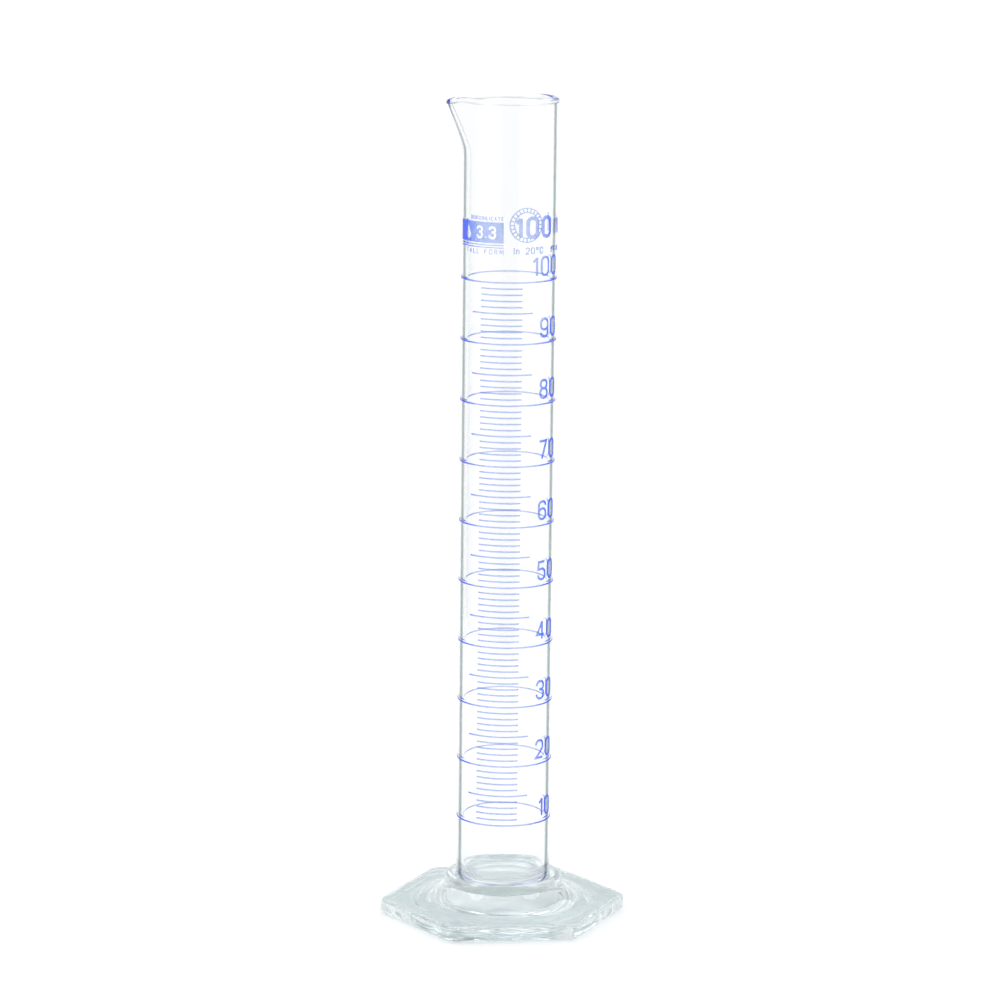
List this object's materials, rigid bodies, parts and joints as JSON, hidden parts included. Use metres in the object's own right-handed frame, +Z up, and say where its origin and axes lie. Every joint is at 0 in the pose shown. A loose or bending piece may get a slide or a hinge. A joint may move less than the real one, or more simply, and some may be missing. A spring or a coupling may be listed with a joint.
{
  "type": "graduated cylinder",
  "caption": "Tall narrow glass measuring cylinder with a pouring spout, a ringed and numbered enamel scale, and a flared hexagonal glass foot.",
  "frame": {"origin": "centre of the hexagonal foot's underside, on the table, on the tube's axis", "axes": "+Z up along the tube, -Y out of the middle of the scale, -X towards the spout"},
  "size_m": [0.0754, 0.0754, 0.26],
  "materials": {
    "tube_glass": "clear, fire-polished",
    "foot_glass": "clear pressed glass, faint green-blue tint",
    "blue_enamel": "fired enamel, half gloss"
  },
  "bodies": {
    "root": {"measuring_tube": "tube_glass", "hexagonal_foot": "foot_glass", "fused_seam": "foot_glass", "ring_marks": "blue_enamel", "five_ml_marks": "blue_enamel", "one_ml_marks": "blue_enamel", "numerals": "blue_enamel", "capacity_label": "blue_enamel", "temperature_label": "blue_enamel", "tolerance_label": "blue_enamel", "calibration_roundel": "blue_enamel", "glass_badge": "blue_enamel"}
  },
  "joints": []
}
